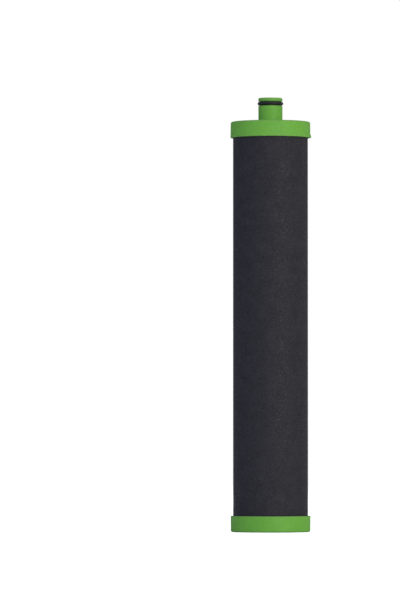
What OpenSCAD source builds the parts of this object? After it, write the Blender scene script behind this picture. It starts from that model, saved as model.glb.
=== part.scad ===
// Carbon block water filter cartridge.
// A thick tube of pressed carbon is closed by two moulded caps, which are bonded on with adhesive.
// Water soaks inwards through the block, gathers in its bore and leaves by the spigot,
// which pushes into the filter head and is sealed there by a rubber ring.
// The foot stands on z = 0, centred on the z axis, and the spigot points up.

/* [Carbon block] */
// Length of the block, which sets how tall the cartridge stands
block_h = 221.6; // [140:0.2:300]
// Outside diameter of the block
block_d = 41.5; // [36:0.5:60]
// Diameter of the bore that gathers the filtered water
bore_d = 13; // [12:0.5:18]

/* [Caps] */
// Height of a cap, from its outer face to the lip of its skirt
cap_h = 8.9; // [7:0.1:16]
// Thickness of a cap's end wall
end_wall = 1.8; // [1.4:0.1:3]
// Thickness of a cap's skirt
skirt_wall = 1; // [0.8:0.1:2]
// Gap between the block and the skirt where the skirt leaves the end wall
skirt_gap = 0.25; // [0.15:0.05:0.6]
// Draft of the skirt, in degrees
skirt_draft = 1; // [0.5:0.25:2]
// Radius round the outer edge of a cap
edge_r = 1; // [0.4:0.1:1.4]
// Radius on the outside of the skirt's lip
lip_r = 0.3; // [0.1:0.05:0.4]
// Lead-in chamfer on the inside of the skirt's lip
lip_chamfer = 0.3; // [0.1:0.05:0.4]

/* [Collars] */
// Length of the collar that centres a cap in the block's bore
collar_l = 6; // [4:0.5:10]
// Clearance between the collar and the bore, on the radius
collar_clearance = 0.15; // [0.05:0.05:0.4]
// Lead-in chamfer at the collar's free end
collar_chamfer = 0.5; // [0.2:0.1:0.8]

/* [Standoffs and adhesive] */
// Number of ribs that hold a cap off the block's end
standoff_count = 6; // [3:1:12]
// Width of a rib
standoff_w = 1.2; // [0.8:0.1:2]
// Length of a rib, outwards from the collar
standoff_l = 9; // [4:0.5:11]
// Height of a rib, which sets the adhesive's thickness
standoff_h = 0.8; // [0.4:0.1:1.5]
// How far the adhesive is squeezed along the block's side
glue_climb = 2.5; // [1:0.25:3.5]

/* [Spigot] */
// Outside diameter of the spigot
spigot_d = 13.3; // [12:0.1:18]
// Length of the spigot, from the cap's outer face
spigot_l = 13.2; // [11:0.1:24]
// Diameter of the passage through the collar and the spigot
passage_d = 10; // [8.5:0.1:10.6]
// Diameter of the passage at the mouth, where the groove takes room in the wall
mouth_d = 7.6; // [5:0.1:8]
// Countersink at the mouth
mouth_chamfer = 0.4; // [0.2:0.1:0.6]
// Chamfer round the spigot's tip
tip_chamfer = 0.35; // [0.1:0.05:0.8]
// Fillet between the spigot and the cap
root_r = 0.5; // [0.2:0.1:1.5]

/* [Seal] */
// Thickness of the rubber ring
ring_t = 2; // [1.6:0.1:2.4]
// How far the ring stands out of its groove
ring_proud = 0.5; // [0.3:0.05:0.7]
// How much the stretched ring flattens on the groove's floor
ring_flat = 0.05; // [0.02:0.01:0.15]
// Clearance beside the ring, on each side
ring_side_gap = 0.3; // [0.15:0.05:0.6]
// Land between the groove and the spigot's tip
tip_land = 1.8; // [1.2:0.1:3]

/* [Gate witnesses] */
// Width of the stub that the edge gate leaves on the top cap's skirt
stub_w = 2.4; // [1.5:0.1:4]
// Height of the stub, down from the skirt's lip
stub_h = 1.6; // [0.8:0.1:3]
// How far the stub stands out of the skirt
stub_out = 0.4; // [0.2:0.1:1]
// Diameter of the dimple that keeps the bottom cap's gate off the floor
dimple_d = 5; // [3.5:0.5:9]
// Depth of the dimple
dimple_t = 0.5; // [0.3:0.1:0.8]
// Diameter of the gate's stump in the dimple
stump_d = 1.6; // [0.8:0.1:2.4]
// How far the stump ends short of the foot's face
stump_recess = 0.15; // [0.05:0.05:0.25]

/* [Hidden] */
$fn = 96;

// Overlap that makes two solids join, and that carries a cutter clean through a face
bite = 0.2;
// Narrowing of the gate's stub, on each side, from the skirt to its cut face
stub_taper = stub_w / 10;

cap_green = [0.41, 0.66, 0.26];
carbon_black = [0.19, 0.19, 0.21];
rubber_black = [0.11, 0.11, 0.12];
glue_amber = [0.86, 0.78, 0.55];

block_r = block_d / 2;
bore_r = bore_d / 2;
passage_r = passage_d / 2;

// Skirt of a cap, which widens with its draft from the end wall to the lip
skirt_in_r = block_r + skirt_gap;
cap_r = skirt_in_r + skirt_wall;
function draft_at(z) = (z - end_wall) * tan(skirt_draft);
lip_out_r = cap_r + draft_at(cap_h);

// Levels of a cap that stands on its outer face, as the bottom one does
collar_out_r = bore_r - collar_clearance;
collar_end = end_wall + collar_l;
block_seat = end_wall + standoff_h;
glue_edge = block_seat + glue_climb;

// The top cap is the same cap turned over, with the spigot on its outer face
top_face = block_h + 2 * block_seat;
overall_h = top_face + spigot_l;

// Seal groove, whose floor the ring grips
spigot_r = spigot_d / 2;
groove_w = ring_t + 2 * ring_side_gap;
groove_floor_r = spigot_r - ring_t + ring_proud + ring_flat;
groove_low = overall_h - tip_land - groove_w;
groove_mid = groove_low + groove_w / 2;
ring_mid_r = groove_floor_r - ring_flat + ring_t / 2;

// The wide passage stops as far below the groove as the spigot is thick, then tapers to the mouth
mouth_r = mouth_d / 2;
throat_low = groove_low - (spigot_r - passage_r) - (passage_r - mouth_r);
throat_high = throat_low + (passage_r - mouth_r);

// What rounding takes off a square corner at the origin, which fills x < 0 and y > 0
module corner_loss(r) {
    difference() {
        translate([-r, -bite]) square(r + bite);
        translate([-r, r]) circle(r);
    }
}

// What a fillet adds to an inside corner at the origin, which is open to x > 0 and y > 0
module corner_fill(r) {
    difference() {
        translate([-bite, -bite]) square(r + bite);
        translate([r, r]) circle(r);
    }
}

// Section of a cap's end wall and drafted skirt
module shell_section() {
    difference() {
        polygon([
            [0, 0],
            [cap_r, 0],
            [cap_r, end_wall],
            [lip_out_r, cap_h],
            [skirt_in_r + draft_at(cap_h) + lip_chamfer, cap_h],
            [skirt_in_r + draft_at(cap_h - lip_chamfer), cap_h - lip_chamfer],
            [skirt_in_r, end_wall],
            [0, end_wall]
        ]);
        translate([cap_r, 0]) corner_loss(edge_r);
        translate([lip_out_r, cap_h]) mirror([0, 1]) corner_loss(lip_r);
    }
}

// Section of the collar that stands up from the end wall into the block's bore
module collar_section() {
    polygon([
        [passage_r, end_wall - bite],
        [collar_out_r, end_wall - bite],
        [collar_out_r, collar_end - collar_chamfer],
        [collar_out_r - collar_chamfer, collar_end],
        [passage_r, collar_end]
    ]);
}

// Ribs on the end wall that carry the block's end and leave room for the adhesive
module standoffs() {
    for (i = [0 : standoff_count - 1])
        rotate(i * 360 / standoff_count)
            translate([collar_out_r - bite, -standoff_w / 2, end_wall - bite])
                cube([standoff_l + bite, standoff_w, standoff_h + bite]);
}

// Turns what is drawn for the bottom of the cartridge over, and sets it on the top
module on_top() {
    translate([0, 0, top_face]) mirror([0, 0, 1]) children();
}

// Section of the solid spigot, with the fillet at its root
module spigot_section() {
    polygon([
        [0, top_face - bite],
        [spigot_r, top_face - bite],
        [spigot_r, overall_h - tip_chamfer],
        [spigot_r - tip_chamfer, overall_h],
        [0, overall_h]
    ]);
    translate([spigot_r, top_face]) corner_fill(root_r);
}

// Section of the water's way out: the wide passage, the throat and the mouth
module outlet_section() {
    polygon([
        [0, top_face - collar_end - bite],
        [passage_r, top_face - collar_end - bite],
        [passage_r, throat_low],
        [mouth_r, throat_high],
        [mouth_r, overall_h - mouth_chamfer],
        [mouth_r + mouth_chamfer, overall_h],
        [mouth_r + mouth_chamfer, overall_h + bite],
        [0, overall_h + bite]
    ]);
}

module groove_section() {
    translate([groove_floor_r, groove_low]) square([ring_t, groove_w]);
}

// Stub of the edge gate at the skirt's lip, cut off flat, on +x
module gate_stub() {
    translate([0, 0, cap_h - stub_h])
        linear_extrude(stub_h)
            polygon([
                [lip_out_r - skirt_wall / 2, -stub_w / 2],
                [lip_out_r + stub_out, stub_taper - stub_w / 2],
                [lip_out_r + stub_out, stub_w / 2 - stub_taper],
                [lip_out_r - skirt_wall / 2, stub_w / 2]
            ]);
}

// Section of the dimple under the bottom cap, which leaves the gate's stump standing
module dimple_section() {
    polygon([
        [0, -bite],
        [dimple_d / 2, -bite],
        [dimple_d / 2, 0],
        [dimple_d / 2 - dimple_t, dimple_t],
        [stump_d / 2, dimple_t],
        [stump_d / 2, stump_recess],
        [0, stump_recess]
    ]);
}

module carbon_block() {
    color(carbon_black)
        translate([0, 0, block_seat])
            difference() {
                cylinder(h = block_h, r = block_r);
                translate([0, 0, -bite]) cylinder(h = block_h + 2 * bite, r = bore_r);
            }
}

module top_cap() {
    color(cap_green) {
        rotate_extrude()
            difference() {
                union() {
                    translate([0, top_face]) mirror([0, 1]) {
                        shell_section();
                        collar_section();
                    }
                    spigot_section();
                }
                outlet_section();
                groove_section();
            }
        on_top() {
            standoffs();
            gate_stub();
        }
    }
}

module bottom_cap() {
    color(cap_green) {
        rotate_extrude() {
            difference() {
                shell_section();
                dimple_section();
            }
            collar_section();
        }
        standoffs();
    }
}

// Rubber ring, stretched onto the groove's floor
module seal_ring() {
    color(rubber_black)
        rotate_extrude()
            intersection() {
                translate([ring_mid_r, groove_mid]) circle(d = ring_t);
                translate([groove_floor_r, groove_mid - ring_t]) square(2 * ring_t);
            }
}

// Adhesive under the block's end, squeezed a little way up between the block and the skirt
module adhesive() {
    color(glue_amber)
        difference() {
            rotate_extrude()
                polygon([
                    [collar_out_r, end_wall],
                    [skirt_in_r, end_wall],
                    [skirt_in_r + draft_at(glue_edge), glue_edge],
                    [block_r, glue_edge],
                    [block_r, block_seat],
                    [collar_out_r, block_seat]
                ]);
            standoffs();
        }
}

module top_adhesive() {
    on_top() adhesive();
}

module bottom_adhesive() {
    adhesive();
}

carbon_block();
top_cap();
bottom_cap();
seal_ring();
top_adhesive();
bottom_adhesive();
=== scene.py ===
"""Looks of a carbon block water filter cartridge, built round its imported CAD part.

The pieces are in metres, as the CAD is: the foot stands on z = 0 and the spigot points up.
"""

import math

import bmesh
import bpy
from mathutils import Matrix, Vector, noise


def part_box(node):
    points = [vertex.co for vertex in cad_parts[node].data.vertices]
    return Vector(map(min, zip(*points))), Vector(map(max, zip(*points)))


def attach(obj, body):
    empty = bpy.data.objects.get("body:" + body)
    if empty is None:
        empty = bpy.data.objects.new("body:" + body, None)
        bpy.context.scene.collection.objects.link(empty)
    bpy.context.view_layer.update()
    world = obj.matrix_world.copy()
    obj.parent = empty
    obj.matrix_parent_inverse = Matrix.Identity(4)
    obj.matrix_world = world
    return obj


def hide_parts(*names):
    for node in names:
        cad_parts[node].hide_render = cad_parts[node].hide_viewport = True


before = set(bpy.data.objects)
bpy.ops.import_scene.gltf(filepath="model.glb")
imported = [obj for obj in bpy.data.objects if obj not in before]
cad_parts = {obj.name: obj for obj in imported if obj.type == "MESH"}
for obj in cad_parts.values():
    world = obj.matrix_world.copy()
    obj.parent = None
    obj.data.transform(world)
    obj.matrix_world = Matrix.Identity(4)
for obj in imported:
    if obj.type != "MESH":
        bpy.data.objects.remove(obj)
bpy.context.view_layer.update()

MM = 0.001
FULL_TURN = 2 * math.pi

# The block and the spigot's mouth, as the CAD has them
BLOCK_LOW, BLOCK_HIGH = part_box("carbon_block")
BLOCK_R = BLOCK_HIGH.y
BORE_R = 6.5 * MM
SPIGOT_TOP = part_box("top_cap")[1].z

# Caps, measured from their outer faces
CAP_H = 8.9 * MM
END_WALL = 1.8 * MM
EDGE_ROUND = 1 * MM
LIP_ROUND = 0.3 * MM
SKIRT_IN_R = BLOCK_R + 0.25 * MM
CAP_R = SKIRT_IN_R + 1 * MM
DRAFT = math.tan(math.radians(1))
LIP_R = CAP_R + DRAFT * (CAP_H - END_WALL)
COLLAR_R = BORE_R - 0.15 * MM
COLLAR_END = END_WALL + 6 * MM
COLLAR_CHAMFER = 0.5 * MM
LIP_CHAMFER = 0.3 * MM

# Ribs that hold the block off a cap's end wall, with their roots in the wall and the collar
STANDOFF_COUNT = 6
STANDOFF_W = 1.2 * MM
STANDOFF_L = 9 * MM
STANDOFF_H = 0.8 * MM
STANDOFF_ROOT = 0.2 * MM

# Gate marks: the stub on the top cap's skirt, and the stump in the bottom cap's dimple
STUB_W = 2.4 * MM
STUB_H = 1.6 * MM
STUB_OUT = 0.4 * MM
DIMPLE_R = 2.5 * MM
DIMPLE_T = 0.5 * MM
STUMP_R = 0.8 * MM
STUMP_RECESS = 0.15 * MM

# Spigot on the top cap
TOP_FACE = SPIGOT_TOP - 13.2 * MM
SPIGOT_R = 6.65 * MM
PASSAGE_R = 5 * MM
MOUTH_R = 3.8 * MM
GROOVE_HIGH = SPIGOT_TOP - 1.8 * MM
GROOVE_LOW = GROOVE_HIGH - 2.6 * MM
GROOVE_FLOOR_R = 5.2 * MM
THROAT_HIGH = GROOVE_LOW - (SPIGOT_R - PASSAGE_R)
THROAT_LOW = THROAT_HIGH - (PASSAGE_R - MOUTH_R)
ROOT_ROUND = 0.5 * MM
TIP_CHAMFER = 0.35 * MM
MOUTH_CHAMFER = 0.4 * MM

# Rubber ring in the groove
RING_T = 2 * MM
RING_MID_R = 6.15 * MM
RING_MID_Z = (GROOVE_LOW + GROOVE_HIGH) / 2

# Rounding that a mould leaves on an edge that is drawn sharp
MOULD_ROUND = 0.12 * MM
TURN_STEPS = 192


def colour(red, green, blue):
    """The linear colour of a screen colour whose parts run from 0 to 255."""
    parts = [part / 255 for part in (red, green, blue)]
    return [p / 12.92 if p <= 0.04045 else ((p + 0.055) / 1.055) ** 2.4 for p in parts] + [1]


def add(tree, kind, values=None, **settings):
    """Adds a node. Settings are its own properties. Values go to its sockets: a socket is linked."""
    made = tree.nodes.new(kind)
    for name, setting in settings.items():
        setattr(made, name, setting)
    for socket, value in (values or {}).items():
        if isinstance(value, bpy.types.NodeSocket):
            tree.links.new(value, made.inputs[socket])
        else:
            made.inputs[socket].default_value = value
    return made


def sums(tree, operation, first, second=0.0):
    """One step of arithmetic."""
    return add(tree, "ShaderNodeMath", {0: first, 1: second}, operation=operation).outputs[0]


def ramp(tree, value, start, end, low=0.0, high=1.0):
    """Runs smoothly from low to high while the value goes from start to end."""
    values = {"Value": value, "From Min": start, "From Max": end, "To Min": low, "To Max": high}
    return add(tree, "ShaderNodeMapRange", values, interpolation_type="SMOOTHSTEP").outputs[0]


def blend(tree, share, first, second, kind="MIX"):
    """Mixes two colours."""
    values = {0: share, 6: first, 7: second}
    return add(tree, "ShaderNodeMix", values, data_type="RGBA", blend_type=kind).outputs[2]


def clouds(tree, size, detail=2.0, stretch=(1, 1, 1)):
    """Soft noise whose patches are about size across on the piece."""
    place = add(tree, "ShaderNodeTexCoord").outputs["Object"]
    turned = add(tree, "ShaderNodeMapping", {"Vector": place, "Scale": stretch}).outputs[0]
    values = {"Vector": turned, "Scale": 1 / size, "Detail": detail}
    return add(tree, "ShaderNodeTexNoise", values).outputs[0]


def new_group(name, inputs, outputs):
    """An empty node group with number inputs, given with their usual values, and number outputs."""
    tree = bpy.data.node_groups.new(name, "ShaderNodeTree")
    for label, usual in inputs.items():
        socket = tree.interface.new_socket(label, in_out="INPUT", socket_type="NodeSocketFloat")
        socket.default_value = usual
    for label in outputs:
        tree.interface.new_socket(label, in_out="OUTPUT", socket_type="NodeSocketFloat")
    return tree, add(tree, "NodeGroupInput").outputs, add(tree, "NodeGroupOutput")


def rim_wear_and_highlight_group():
    """Abrasion and a painted highlight along a turned edge: a broken band round the circle at Radius and
    Height.
    """
    tree, given, out = new_group("rim_wear_and_highlight", {"Radius": 0.02, "Height": 0.0, "Width": 0.001}, ["Wear"])
    place = add(tree, "ShaderNodeTexCoord").outputs["Object"]
    xyz = add(tree, "ShaderNodeSeparateXYZ", {0: place}).outputs
    flat = add(tree, "ShaderNodeCombineXYZ", {"X": xyz["X"], "Y": xyz["Y"]}).outputs[0]
    from_axis = add(tree, "ShaderNodeVectorMath", {0: flat}, operation="LENGTH").outputs["Value"]
    across = sums(tree, "SUBTRACT", from_axis, given["Radius"])
    along = sums(tree, "SUBTRACT", xyz["Z"], given["Height"])
    gap = add(tree, "ShaderNodeCombineXYZ", {"X": across, "Y": along}).outputs[0]
    distance = add(tree, "ShaderNodeVectorMath", {0: gap}, operation="LENGTH").outputs["Value"]
    # The band stands for abrasion and, on the rounded edge, a painted highlight.
    band = ramp(tree, sums(tree, "DIVIDE", distance, given["Width"]), 0.15, 1, 1, 0)
    broken_up = ramp(tree, clouds(tree, 1.4 * MM, 3), 0.3, 0.65, 0.35, 1)
    tree.links.new(sums(tree, "MULTIPLY", band, broken_up), out.inputs["Wear"])
    return tree


def scuffs_group():
    """Fine marks that run round a turned piece, a few of them deep enough to show."""
    tree, given, out = new_group("scuffs", {"Share": 0.2}, ["Marks"])
    lines = clouds(tree, 4 * MM, 3, (1, 1, 26))
    where = ramp(tree, clouds(tree, 7 * MM, 1), 0.45, 0.62)
    start = sums(tree, "SUBTRACT", 0.9, given["Share"])
    fine = add(tree, "ShaderNodeMapRange", {"Value": lines, "From Min": start, "From Max": 0.9}).outputs[0]
    tree.links.new(sums(tree, "MULTIPLY", fine, where), out.inputs["Marks"])
    return tree


def grain_group():
    """Packed grains: their height, and a tone that differs from one grain to the next."""
    tree, given, out = new_group("grains", {"Size": 0.0005}, ["Height", "Tone"])
    place = add(tree, "ShaderNodeTexCoord").outputs["Object"]
    count = sums(tree, "DIVIDE", 1, given["Size"])
    cells = add(tree, "ShaderNodeTexVoronoi", {"Vector": place, "Scale": count}).outputs
    tones = add(tree, "ShaderNodeSeparateColor", {0: cells["Color"]}).outputs
    tree.links.new(ramp(tree, cells["Distance"], 0, 0.8, 1, 0), out.inputs["Height"])
    tree.links.new(tones[0], out.inputs["Tone"])
    return tree


def dust_group():
    """Dust that has settled on what faces up, thinly and in patches."""
    tree, given, out = new_group("dust", {"Amount": 0.3}, ["Dust"])
    normal = add(tree, "ShaderNodeNewGeometry").outputs["Normal"]
    up = add(tree, "ShaderNodeSeparateXYZ", {0: normal}).outputs["Z"]
    lying = ramp(tree, up, 0.35, 1)
    patches = ramp(tree, clouds(tree, 2.5 * MM, 4), 0.35, 0.75)
    dust = sums(tree, "MULTIPLY", sums(tree, "MULTIPLY", lying, patches), given["Amount"])
    tree.links.new(dust, out.inputs["Dust"])
    return tree


RIM_WEAR_AND_HIGHLIGHT, SCUFFS, GRAINS, DUST = rim_wear_and_highlight_group(), scuffs_group(), grain_group(), dust_group()


def use(tree, group, **values):
    """Puts a shared effect in a material, and gives its outputs."""
    named = {name.capitalize(): value for name, value in values.items()}
    made = tree.nodes.new("ShaderNodeGroup")
    made.node_tree = group
    for name, value in named.items():
        made.inputs[name].default_value = value
    return made.outputs


def new_material(name):
    """A material with a bare Principled shader, and its node tree."""
    material = bpy.data.materials.new(name)
    material.use_nodes = True
    shader = material.node_tree.nodes["Principled BSDF"]
    return material, material.node_tree, shader


def bump(tree, shader, height, depth, strength=1.0):
    """Gives the shader a bump of that depth, over any bump that it has."""
    values = {"Height": height, "Distance": depth, "Strength": strength}
    under = shader.inputs["Normal"].links
    if under:
        values["Normal"] = under[0].from_socket
    relief = add(tree, "ShaderNodeBump", values).outputs[0]
    tree.links.new(relief, shader.inputs["Normal"])


def green_plastic(name, rims):
    """Moulded cap plastic: satin, cloudy where it flowed, and greyer and duller along its edges, from
    abrasion and from a highlight painted on the rounded edges.
    """
    material, tree, shader = new_material(name)
    flow = ramp(tree, clouds(tree, 16 * MM, 3, (1, 1, 0.4)), 0.3, 0.7)
    base = blend(tree, flow, colour(91, 153, 50), colour(95, 157, 52))
    speck = ramp(tree, clouds(tree, 0.7 * MM, 2), 0.25, 0.75, 0.93, 1.05)
    base = blend(tree, 1.0, base, speck, "MULTIPLY")
    wear_and_highlight = 0.0
    for radius, height, width in rims:
        worn_and_highlit = use(tree, RIM_WEAR_AND_HIGHLIGHT, radius=radius, height=height, width=width)["Wear"]
        wear_and_highlight = sums(tree, "MAXIMUM", worn_and_highlit, wear_and_highlight)
    # Greyer green along the edges: partly abrasion, partly a painted highlight where the rounded edges
    # catch the light.
    base = blend(tree, sums(tree, "MULTIPLY", wear_and_highlight, 0.4), base, colour(112, 132, 84))
    dust = use(tree, DUST, amount=0.25)["Dust"]
    base = blend(tree, dust, base, colour(150, 150, 140))
    marks = use(tree, SCUFFS, share=0.22)["Marks"]
    base = blend(tree, sums(tree, "MULTIPLY", marks, 0.12), base, colour(140, 170, 120))
    tree.links.new(base, shader.inputs["Base Color"])
    rough = ramp(tree, clouds(tree, 5 * MM, 4), 0.3, 0.7, 0.5, 0.62)
    rough = sums(tree, "ADD", rough, sums(tree, "MULTIPLY", wear_and_highlight, 0.12))
    rough = sums(tree, "ADD", rough, sums(tree, "MULTIPLY", marks, 0.1))
    tree.links.new(rough, shader.inputs["Roughness"])
    bump(tree, shader, clouds(tree, 0.35 * MM, 2), 0.02 * MM, 0.6)
    bump(tree, shader, marks, -0.02 * MM, 0.5)
    shader.inputs["IOR"].default_value = 1.47
    shader.inputs["Specular IOR Level"].default_value = 0.3
    return material


def cut_plastic():
    """The plastic where a gate was cut off: whitened, and rough from the cutter."""
    material, tree, shader = new_material("cut_plastic")
    torn = ramp(tree, clouds(tree, 0.3 * MM, 3, (1, 1, 3)), 0.3, 0.7)
    base = blend(tree, torn, colour(104, 158, 68), colour(136, 178, 104))
    tree.links.new(base, shader.inputs["Base Color"])
    tree.links.new(ramp(tree, torn, 0, 1, 0.6, 0.8), shader.inputs["Roughness"])
    bump(tree, shader, torn, 0.05 * MM)
    shader.inputs["Specular IOR Level"].default_value = 0.3
    return material


def pressed_carbon():
    """Carbon powder pressed and baked into a block: dull, charcoal, with paler and shinier grains."""
    material, tree, shader = new_material("pressed_carbon")
    grains = use(tree, GRAINS, size=0.55 * MM)
    fine = use(tree, GRAINS, size=0.23 * MM)
    patches = ramp(tree, clouds(tree, 6 * MM, 3), 0.3, 0.7)
    base = blend(tree, patches, colour(33, 32, 37), colour(38, 37, 42))
    tone = ramp(tree, grains["Tone"], 0, 1, 0.82, 1.18)
    base = blend(tree, 1.0, base, tone, "MULTIPLY")
    base = blend(tree, 1.0, base, ramp(tree, fine["Tone"], 0, 1, 0.85, 1.15), "MULTIPLY")
    # Painted shade: small dark spots that stand for the shade in the surface's pits.
    pit_shade = ramp(tree, clouds(tree, 1.5 * MM, 1), 0.68, 0.74)
    base = blend(tree, sums(tree, "MULTIPLY", pit_shade, 0.6), base, colour(14, 14, 16))
    tree.links.new(base, shader.inputs["Base Color"])
    glint = ramp(tree, grains["Tone"], 0.94, 0.98)
    rough = sums(tree, "SUBTRACT", ramp(tree, fine["Tone"], 0, 1, 0.6, 0.8), glint)
    tree.links.new(sums(tree, "MAXIMUM", rough, 0.42), shader.inputs["Roughness"])
    bump(tree, shader, grains["Height"], 0.05 * MM, 0.7)
    bump(tree, shader, fine["Height"], 0.02 * MM, 0.7)
    shader.inputs["Specular IOR Level"].default_value = 0.2
    return material


def seal_rubber():
    """Nitrile rubber: near black, satin, with a little dust and a faint bloom."""
    material, tree, shader = new_material("seal_rubber")
    bloom = ramp(tree, clouds(tree, 3 * MM, 4), 0.35, 0.7)
    base = blend(tree, bloom, colour(14, 15, 17), colour(20, 20, 24))
    base = blend(tree, use(tree, DUST, amount=0.35)["Dust"], base, colour(96, 94, 92))
    tree.links.new(base, shader.inputs["Base Color"])
    marks = use(tree, SCUFFS, share=0.3)["Marks"]
    rough = sums(tree, "ADD", ramp(tree, bloom, 0, 1, 0.42, 0.55), sums(tree, "MULTIPLY", marks, 0.1))
    tree.links.new(rough, shader.inputs["Roughness"])
    shader.inputs["Specular IOR Level"].default_value = 0.3
    bump(tree, shader, clouds(tree, 0.25 * MM, 3), 0.015 * MM, 0.6)
    bump(tree, shader, marks, -0.01 * MM, 0.5)
    return material


def hot_melt():
    """Amber adhesive with small bubbles and a glossy skin."""
    material, tree, shader = new_material("hot_melt")
    thick = ramp(tree, clouds(tree, 4 * MM, 2), 0.3, 0.7)
    base = blend(tree, thick, colour(196, 170, 110), colour(222, 200, 150))
    bubbles = use(tree, GRAINS, size=0.9 * MM)["Height"]
    base = blend(tree, ramp(tree, bubbles, 0.8, 1, 0, 0.4), base, colour(236, 222, 186))
    tree.links.new(base, shader.inputs["Base Color"])
    tree.links.new(ramp(tree, thick, 0, 1, 0.25, 0.4), shader.inputs["Roughness"])
    bump(tree, shader, bubbles, 0.08 * MM, 0.5)
    bump(tree, shader, clouds(tree, 2 * MM, 2), 0.1 * MM, 0.5)
    return material


def outline(corners):
    """A closed flat outline in the XZ plane. Each corner is its radius, height and rounding."""
    bm = bmesh.new()
    points = [bm.verts.new((radius, 0, height)) for radius, height, _ in corners]
    bm.faces.new(points)
    for point, (_, _, rounding) in zip(points, corners):
        if rounding:
            steps = 6 if rounding > 0.25 * MM else 3
            bmesh.ops.bevel(
                bm, geom=[point], offset=rounding, offset_type="OFFSET", segments=steps,
                profile=0.5, affect="VERTICES", material=-1,
            )
    return bm


def turn(bm, steps=TURN_STEPS):
    """Turns an outline round the z axis into a closed form."""
    bmesh.ops.delete(bm, geom=bm.faces[:], context="FACES_ONLY")
    on_axis = [e for e in bm.edges if all(v.co.x < 1e-9 for v in e.verts)]
    bmesh.ops.delete(bm, geom=on_axis, context="EDGES")
    bmesh.ops.spin(
        bm, geom=bm.verts[:] + bm.edges[:], cent=(0, 0, 0), axis=(0, 0, 1), dvec=(0, 0, 0),
        angle=FULL_TURN, steps=steps, use_merge=True,
    )
    bmesh.ops.remove_doubles(bm, verts=bm.verts[:], dist=1e-7)
    bmesh.ops.recalc_face_normals(bm, faces=bm.faces[:])


def finished(bm, name, materials, node):
    """Makes the mesh an object that stands for its CAD node."""
    mesh = bpy.data.meshes.new(name)
    bm.to_mesh(mesh)
    bm.free()
    mesh.shade_smooth()
    for material in materials:
        mesh.materials.append(material)
    piece = bpy.data.objects.new(name, mesh)
    bpy.context.scene.collection.objects.link(piece)
    even = piece.modifiers.new("even_shading", "WEIGHTED_NORMAL")
    even.weight = 60
    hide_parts(node)
    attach(piece, "root")


def add_bar(bm, low, high, rounding, taper=0.0):
    """A rounded bar between two corners. Its far end in x is narrower by taper on each side."""
    middle, size = (low + high) / 2, high - low
    place = Matrix.Translation(middle) @ Matrix.Diagonal((*size, 1))
    bar = bmesh.ops.create_cube(bm, size=1, matrix=place)["verts"]
    for corner in bar:
        if corner.co.x > middle.x:
            corner.co.y -= math.copysign(taper, corner.co.y - middle.y)
    edges = list({edge for corner in bar for edge in corner.link_edges})
    bmesh.ops.bevel(
        bm, geom=edges, offset=rounding, offset_type="OFFSET", segments=2, profile=0.5,
        affect="EDGES", material=-1,
    )


def mark_cut(bm, centre, reach):
    """Gives the faces near a cut-off gate the second material."""
    for face in bm.faces:
        if (face.calc_center_median() - centre).length < reach:
            face.material_index = 1


def raise_split_line(bm, low, height):
    """Raises the thin lines that the two halves of the spigot's mould leave on its sides."""
    for point in bm.verts:
        on_line = abs(point.co.y) < 1e-6 and point.co.z > low
        if on_line and abs(point.co.x) > GROOVE_FLOOR_R - 0.01 * MM:
            point.co.x += math.copysign(height, point.co.x)


def add_standoffs(bm, wall, towards):
    """Ribs on a cap's end wall, which hold the block's end off it. Towards is 1 up, -1 down."""
    ends = sorted((wall - towards * STANDOFF_ROOT, wall + towards * STANDOFF_H))
    for place in range(STANDOFF_COUNT):
        rib = bmesh.new()
        low = Vector((COLLAR_R - STANDOFF_ROOT, -STANDOFF_W / 2, ends[0]))
        high = Vector((COLLAR_R + STANDOFF_L, STANDOFF_W / 2, ends[1]))
        add_bar(rib, low, high, 0.1 * MM)
        angle = place * FULL_TURN / STANDOFF_COUNT
        bmesh.ops.rotate(rib, verts=rib.verts[:], matrix=Matrix.Rotation(angle, 3, "Z"))
        scrap = bpy.data.meshes.new("rib")
        rib.to_mesh(scrap)
        bm.from_mesh(scrap)
        bpy.data.meshes.remove(scrap)
        rib.free()


def shell_corners(at):
    """Corners of a cap's wall, skirt and collar, from the passage out and back to the cap's edge.

    The function at puts a height above the cap's outer face where that cap has it.
    """
    return [
        (PASSAGE_R, at(COLLAR_END), MOULD_ROUND),
        (COLLAR_R - COLLAR_CHAMFER, at(COLLAR_END), MOULD_ROUND),
        (COLLAR_R, at(COLLAR_END - COLLAR_CHAMFER), MOULD_ROUND),
        (COLLAR_R, at(END_WALL), MOULD_ROUND),
        (SKIRT_IN_R, at(END_WALL), MOULD_ROUND),
        (SKIRT_IN_R + DRAFT * (CAP_H - LIP_CHAMFER - END_WALL), at(CAP_H - LIP_CHAMFER), 0),
        (SKIRT_IN_R + DRAFT * (CAP_H - END_WALL) + LIP_CHAMFER, at(CAP_H), MOULD_ROUND),
        (LIP_R, at(CAP_H), LIP_ROUND),
        (CAP_R, at(END_WALL), 0),
        (CAP_R, at(0), EDGE_ROUND),
    ]


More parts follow.
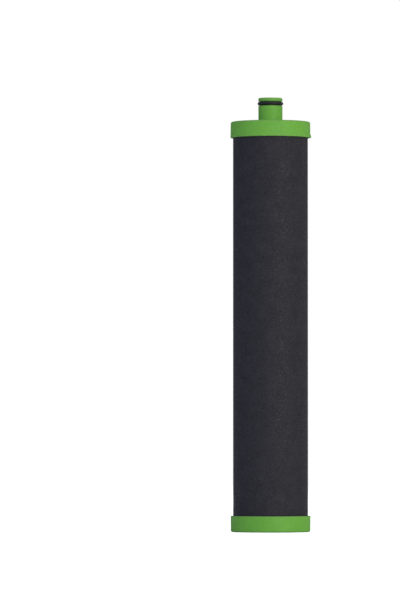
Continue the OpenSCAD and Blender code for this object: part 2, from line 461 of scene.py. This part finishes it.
def top_cap():
    """Top cap with its skirt, its spigot and seal groove, and the stub of its edge gate."""
    wall = TOP_FACE - END_WALL
    bm = outline(shell_corners(lambda height: TOP_FACE - height) + [
        (SPIGOT_R, TOP_FACE, ROOT_ROUND),
        (SPIGOT_R, GROOVE_LOW, MOULD_ROUND),
        (GROOVE_FLOOR_R, GROOVE_LOW, MOULD_ROUND),
        (GROOVE_FLOOR_R, GROOVE_HIGH, MOULD_ROUND),
        (SPIGOT_R, GROOVE_HIGH, MOULD_ROUND),
        (SPIGOT_R, SPIGOT_TOP - TIP_CHAMFER, MOULD_ROUND),
        (SPIGOT_R - TIP_CHAMFER, SPIGOT_TOP, MOULD_ROUND),
        (MOUTH_R + MOUTH_CHAMFER, SPIGOT_TOP, MOULD_ROUND),
        (MOUTH_R, SPIGOT_TOP - MOUTH_CHAMFER, MOULD_ROUND),
        (MOUTH_R, THROAT_HIGH, MOULD_ROUND),
        (PASSAGE_R, THROAT_LOW, MOULD_ROUND),
    ])
    turn(bm)
    raise_split_line(bm, TOP_FACE + 0.5 * MM, 0.03 * MM)
    add_standoffs(bm, wall, -1)
    lip = TOP_FACE - CAP_H
    low = Vector((LIP_R - 0.5 * MM, -STUB_W / 2, lip))
    high = Vector((LIP_R + STUB_OUT, STUB_W / 2, lip + STUB_H))
    add_bar(bm, low, high, MOULD_ROUND, STUB_W / 10)
    mark_cut(bm, Vector((high.x, 0, lip + STUB_H / 2)), 0.1 * MM)
    rims = [
        (CAP_R, TOP_FACE, 1.3 * MM),
        (LIP_R, lip, 0.8 * MM),
        (SPIGOT_R, SPIGOT_TOP, 1.0 * MM),
        (SPIGOT_R, GROOVE_LOW, 0.7 * MM),
        (SPIGOT_R, GROOVE_HIGH, 0.7 * MM),
        (MOUTH_R, SPIGOT_TOP, 0.9 * MM),
    ]
    plastics = [green_plastic("green_plastic_top", rims), CUT_PLASTIC]
    finished(bm, "moulded_top_cap", plastics, "top_cap")


def bottom_cap():
    """Bottom cap, closed, with the dimple in its foot where the gate's stump stands."""
    bm = outline(shell_corners(lambda height: height) + [
        (DIMPLE_R, 0, MOULD_ROUND),
        (DIMPLE_R - DIMPLE_T, DIMPLE_T, MOULD_ROUND),
        (STUMP_R, DIMPLE_T, MOULD_ROUND),
        (STUMP_R, STUMP_RECESS, MOULD_ROUND),
        (0, STUMP_RECESS, 0),
        (0, END_WALL, 0),
        (PASSAGE_R, END_WALL, MOULD_ROUND),
    ])
    turn(bm)
    mark_cut(bm, Vector((0, 0, STUMP_RECESS)), STUMP_R - 0.05 * MM)
    add_standoffs(bm, END_WALL, 1)
    rims = [(CAP_R, 0, 1.3 * MM), (LIP_R, CAP_H, 0.8 * MM)]
    plastics = [green_plastic("green_plastic_bottom", rims), CUT_PLASTIC]
    finished(bm, "moulded_bottom_cap", plastics, "bottom_cap")


def grain_depth(place):
    """How far the block's pressed surface lies under its full radius at a place."""
    ripple = noise.fractal(place / (1.6 * MM), 0.9, 2.1, 3)
    patch = noise.noise(place / (7 * MM))
    depth = 0.02 * MM * (1 + ripple) + 0.02 * MM * (1 + patch)
    near, _ = noise.voronoi(place / (5 * MM))
    pit = max(0, 1 - near[0] * 5 / 0.8)
    return max(0, depth) + 0.12 * MM * pit * pit * (3 - 2 * pit)


def carbon_block():
    """Pressed carbon tube, whose outside has the relief of its grain and a few pits."""
    low, high = BLOCK_LOW.z, BLOCK_HIGH.z
    bm = outline([
        (BORE_R, low, 0.2 * MM), (BLOCK_R, low, 0.2 * MM),
        (BLOCK_R, high, 0.2 * MM), (BORE_R, high, 0.2 * MM),
    ])
    upright = [e for e in bm.edges if e.calc_length() > (high - low) / 2]
    outside = [e for e in upright if e.verts[0].co.x > BLOCK_R / 2]
    inside = [e for e in upright if e not in outside]
    bmesh.ops.subdivide_edges(bm, edges=outside, cuts=340)
    bmesh.ops.subdivide_edges(bm, edges=inside, cuts=12)
    turn(bm, 204)
    for point in bm.verts:
        side = Vector((point.co.x, point.co.y, 0))
        if side.length > BLOCK_R - 0.01 * MM:
            point.co -= side.normalized() * grain_depth(point.co)
    finished(bm, "pressed_carbon_block", [pressed_carbon()], "carbon_block")


def seal_ring():
    """Rubber ring, flat where it grips the groove, with the thin flash of its mould round it."""
    bm = bmesh.new()
    stand = Matrix.Translation((RING_MID_R, 0, RING_MID_Z)) @ Matrix.Rotation(math.pi / 2, 4, "X")
    bmesh.ops.create_circle(bm, cap_ends=True, radius=RING_T / 2, segments=36, matrix=stand)
    outer = max(bm.verts, key=lambda v: v.co.x)
    for point in bm.verts:
        point.co.x = max(point.co.x, GROOVE_FLOOR_R)
        if point is not outer:
            point.co.x -= 0.03 * MM * (point.co.x > RING_MID_R)
    turn(bm, 144)
    finished(bm, "rubber_seal_ring", [seal_rubber()], "seal_ring")


def adhesive():
    """The adhesive keeps its CAD solids, which show only in the slits under the caps' lips."""
    glue = hot_melt()
    for node in ("top_adhesive", "bottom_adhesive"):
        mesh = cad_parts[node].data
        mesh.materials.clear()
        mesh.materials.append(glue)


def camera():
    """Stands far off in front, near the cartridge's foot, and looks past its left side."""
    eye = Vector((0, -2.85, 0.055))
    aim = Vector((-0.039, 0, 0.13126))
    data = bpy.data.cameras.new("camera")
    data.sensor_width = 36
    data.lens = 314.95
    made = bpy.data.objects.new("camera", data)
    made.location = eye
    made.rotation_euler = (aim - eye).to_track_quat("-Z", "Y").to_euler()
    bpy.context.scene.collection.objects.link(made)
    bpy.context.scene.camera = made


def soft_box(name, azimuth, elevation, level, tint, width=0.9, height=1.2, distance=1.7):
    """A soft box that faces the cartridge. Azimuth runs from the camera's side to the right.

    The level is the brightness that a white card facing it would have.
    """
    data = bpy.data.lights.new(name, "AREA")
    data.shape = "RECTANGLE"
    data.size, data.size_y = width, height
    data.energy = level * (math.pi * distance) ** 2
    data.color = tint
    round_z, up = math.radians(azimuth), math.radians(elevation)
    way = Vector((math.sin(round_z) * math.cos(up), -math.cos(round_z) * math.cos(up), math.sin(up)))
    box = bpy.data.objects.new(name, data)
    box.location = Vector((0, 0, SPIGOT_TOP / 2)) + way * distance
    box.rotation_euler = way.to_track_quat("Z", "Y").to_euler()
    box.visible_camera = False
    bpy.context.scene.collection.objects.link(box)
    return box


def light_tent():
    """White to the camera. To the cartridge it is a tent that is cooler and dimmer on the left."""
    world = bpy.data.worlds.new("light_tent")
    bpy.context.scene.world = world
    world.use_nodes = True
    tree = world.node_tree
    tree.nodes.clear()
    way = add(tree, "ShaderNodeTexCoord").outputs["Generated"]
    sides = add(tree, "ShaderNodeSeparateXYZ", {0: way}).outputs
    tint = blend(tree, ramp(tree, sides["X"], -1, 0.4), (0.64, 0.71, 1.06, 1), (1, 0.99, 0.98, 1))
    front = sums(tree, "MULTIPLY", sides["Y"], -0.64)
    level = sums(tree, "ADD", front, 0.7)
    air = add(tree, "ShaderNodeBackground", {"Color": tint, "Strength": level}).outputs[0]
    seen = add(tree, "ShaderNodeBackground", {"Color": (1, 1, 1, 1)}).outputs[0]
    by_camera = add(tree, "ShaderNodeLightPath").outputs["Is Camera Ray"]
    both = add(tree, "ShaderNodeMixShader", {0: by_camera, 1: air, 2: seen}).outputs[0]
    add(tree, "ShaderNodeOutputWorld", {"Surface": both})


def floor():
    """Pale floor, which the camera sees a little lighter than it shines on the cartridge."""
    material, tree, shader = new_material("pale_floor")
    shader.inputs["Roughness"].default_value = 0.9
    shader.inputs["Specular IOR Level"].default_value = 0.1
    shade = ramp(tree, clouds(tree, 0.4, 2), 0.3, 0.7)
    base = blend(tree, shade, colour(228, 229, 229), colour(231, 232, 232))
    tree.links.new(base, shader.inputs["Base Color"])
    by_camera = add(tree, "ShaderNodeLightPath").outputs["Is Camera Ray"]
    shader.inputs["Emission Color"].default_value = (1, 1, 1, 1)
    tree.links.new(sums(tree, "MULTIPLY", by_camera, 0.6), shader.inputs["Emission Strength"])
    bm = bmesh.new()
    bmesh.ops.create_circle(bm, cap_ends=True, radius=2.5, segments=96)
    mesh = bpy.data.meshes.new("pale_floor")
    bm.to_mesh(mesh)
    bm.free()
    mesh.materials.append(material)
    made = bpy.data.objects.new("pale_floor", mesh)
    bpy.context.scene.collection.objects.link(made)


def studio():
    """Plain soft light: a large box from the right, weaker ones from behind, and the tent."""
    light_tent()
    soft_box("key_box", 34, 4, 0.36, (1, 0.98, 0.94), 1.3, 0.6, 2.4)
    soft_box("rear_right_box", 125, 20, 0.04, (1, 1, 1))
    soft_box("back_box", 180, 35, 0.36, (1, 1, 1)).visible_glossy = False
    bpy.context.scene.view_settings.view_transform = "Standard"


camera()
CUT_PLASTIC = cut_plastic()
carbon_block()
top_cap()
bottom_cap()
seal_ring()
adhesive()
floor()
studio()
